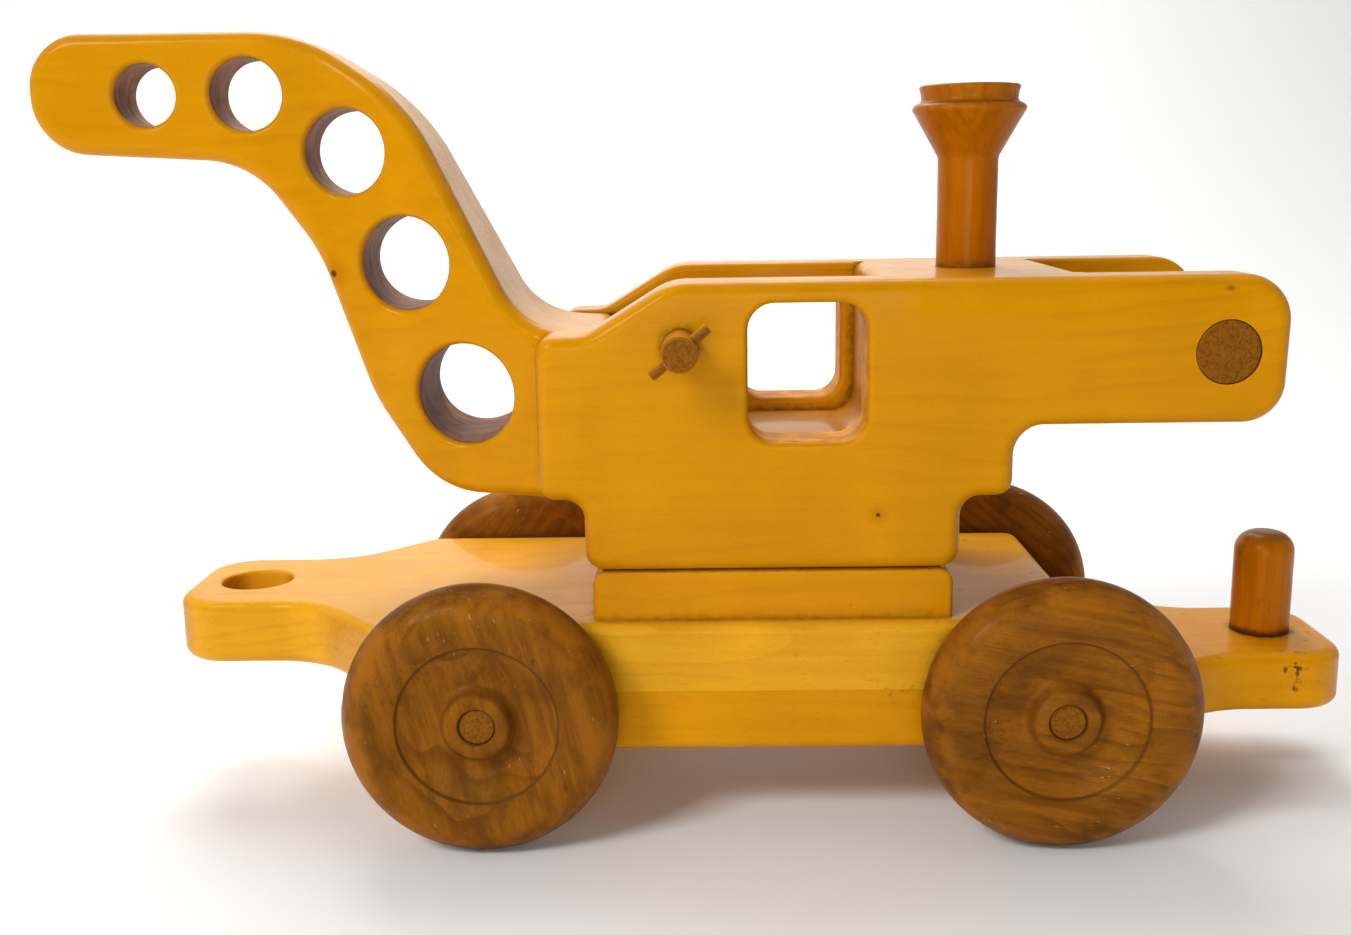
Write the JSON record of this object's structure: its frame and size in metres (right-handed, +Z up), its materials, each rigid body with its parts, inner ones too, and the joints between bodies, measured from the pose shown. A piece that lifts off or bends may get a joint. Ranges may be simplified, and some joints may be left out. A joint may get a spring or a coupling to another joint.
{
  "type": "toy railway crane car",
  "caption": "Wooden toy railway crane: a slewing cab with a pierced boom and hand winch on a rolling wheeled car with hitch hole and peg.",
  "frame": {"origin": "on the ground under the centre of the bounding box, at rest with the boom in line with the car", "axes": "+Z up, the boom reaches toward -X, the cab's tail and the car's peg tongue are toward +X, +Y is the left side when looking toward +X"},
  "size_m": [0.419, 0.1526, 0.2445],
  "materials": {
    "golden_maple": "gloss clear lacquer on maple",
    "brown_wheel_wood": "satin stained wood",
    "amber_turned_wood": "satin lacquer on turned wood",
    "pale_dowel_wood": "satin lacquer, end grain",
    "steel": "plain zinc plated"
  },
  "bodies": {
    "chassis": {"deck": "golden_maple", "underframe": "golden_maple", "turntable_block": "golden_maple", "hitch_peg": "amber_turned_wood"},
    "cab": {"side_plate_left": "golden_maple", "side_plate_right": "golden_maple", "centre_block": "golden_maple", "boom": "golden_maple", "chimney": "amber_turned_wood", "rear_crossbar": "pale_dowel_wood", "slew_pivot": "pale_dowel_wood", "retaining_washer": "steel", "retaining_screw": "steel"},
    "front_wheelset": {"front_axle": "pale_dowel_wood", "wheel_front_left": "brown_wheel_wood", "wheel_front_right": "brown_wheel_wood"},
    "rear_wheelset": {"rear_axle": "pale_dowel_wood", "wheel_rear_left": "brown_wheel_wood", "wheel_rear_right": "brown_wheel_wood"},
    "winch": {"winch_axle": "amber_turned_wood", "winch_handle_left": "amber_turned_wood", "winch_handle_right": "amber_turned_wood"}
  },
  "joints": [
    {"name": "slew", "type": "hinge", "parent": "chassis", "child": "cab", "pos_m": [0.0197, 0, 0.0814], "axis": [0, 0, 1], "continuous": true},
    {"name": "front_axle_spin", "type": "hinge", "parent": "chassis", "child": "front_wheelset", "pos_m": [-0.0664, 0, 0.0413], "axis": [0, 1, 0], "continuous": true},
    {"name": "rear_axle_spin", "type": "hinge", "parent": "chassis", "child": "rear_wheelset", "pos_m": [0.1058, 0, 0.0413], "axis": [0, 1, 0], "continuous": true},
    {"name": "winch_turn", "type": "hinge", "parent": "cab", "child": "winch", "pos_m": [-0.0055, 0, 0.1496], "axis": [0, 1, 0], "continuous": true}
  ]
}
